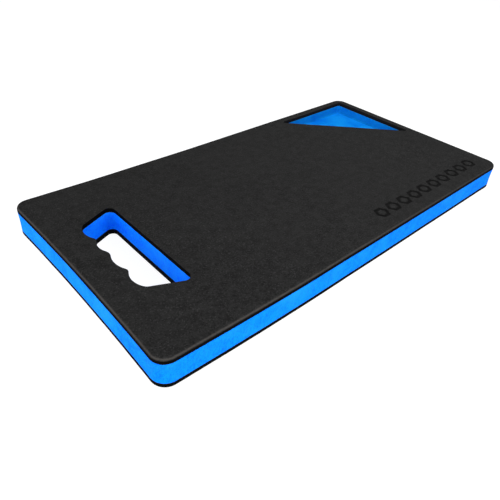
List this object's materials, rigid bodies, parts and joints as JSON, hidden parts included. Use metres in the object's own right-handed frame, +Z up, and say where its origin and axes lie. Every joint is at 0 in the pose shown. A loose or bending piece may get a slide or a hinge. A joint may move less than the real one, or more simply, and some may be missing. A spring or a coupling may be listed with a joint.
{
  "type": "kneeling pad",
  "caption": "Rectangular laminated foam kneeling pad with a hand opening with finger grooves at one end and a triangular pocket in the opposite corner.",
  "frame": {"origin": "centre of the underside's bounding rectangle, on the surface the pad lies on", "axes": "+Z up through the thickness; +X along the length, from the end with the hand opening to the end with the corner pocket; +Y across the width, towards the pocket's corner"},
  "size_m": [0.48, 0.25, 0.03],
  "materials": {
    "black_foam": "matte closed-cell foam with a fine grain",
    "blue_foam": "matte cut closed-cell foam",
    "glue": "dried contact adhesive"
  },
  "bodies": {
    "root": {"bottom_cover": "black_foam", "bottom_glue": "glue", "core": "blue_foam", "top_glue": "glue", "top_cover": "black_foam"}
  },
  "joints": []
}
